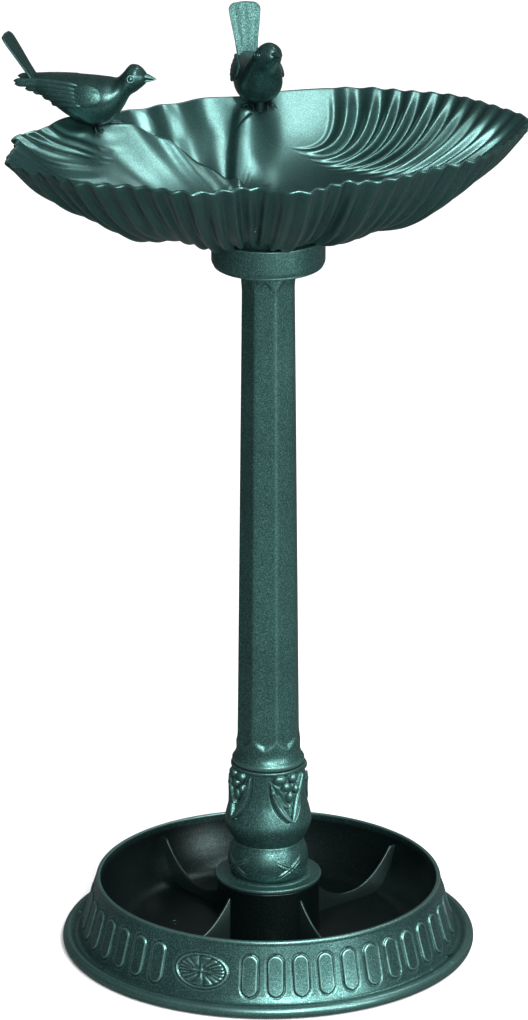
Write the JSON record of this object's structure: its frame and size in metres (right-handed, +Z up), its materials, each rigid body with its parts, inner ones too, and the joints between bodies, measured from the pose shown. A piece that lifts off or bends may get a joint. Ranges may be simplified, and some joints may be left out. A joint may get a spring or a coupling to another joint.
{
  "type": "bird bath",
  "caption": "Pedestal bird bath: a scallop-shell bowl with a pair of perching birds on a slim octagonal column, over a round planter base.",
  "frame": {"origin": "on the ground, at the middle of the base's underside, on the axis of the column", "axes": "+Z up along the column, -Y the front that the back bird faces, +X to the right seen from the front"},
  "size_m": [0.4493, 0.381, 0.7997],
  "materials": {
    "green_paint": "hammered dark green metallic, satin",
    "satin_green": "smooth dark green metallic, satin",
    "bird_green": "dark green metallic, satin",
    "inner_plastic": "plain moulded",
    "zinc_steel": "bright zinc plate"
  },
  "bodies": {
    "stand": {"base_planter": "green_paint", "foot_plate": "green_paint", "plate_screw_1": "zinc_steel", "plate_screw_2": "zinc_steel", "plate_screw_3": "zinc_steel", "plate_screw_4": "zinc_steel", "tie_rod": "zinc_steel", "rod_nut_lower": "zinc_steel", "foot_bulge": "green_paint", "foot_vase": "green_paint", "shaft_coupling": "inner_plastic", "column_shaft": "green_paint", "shaft_cap": "inner_plastic", "rod_washer": "zinc_steel", "rod_nut_upper": "zinc_steel"},
    "bowl": {"bowl_collar": "green_paint", "collar_screw_1": "zinc_steel", "collar_screw_2": "zinc_steel", "collar_screw_3": "zinc_steel", "collar_screw_4": "zinc_steel", "bowl": "satin_green", "bird_left_body": "bird_green", "bird_left_tail": "bird_green", "bird_left_screw": "zinc_steel", "bird_back_body": "bird_green", "bird_back_tail": "bird_green", "bird_back_screw": "zinc_steel"}
  },
  "joints": [
    {"name": "bowl_lift", "type": "slide", "parent": "stand", "child": "bowl", "axis": [0, 0, 1], "range_m": [0, 0.06]}
  ]
}
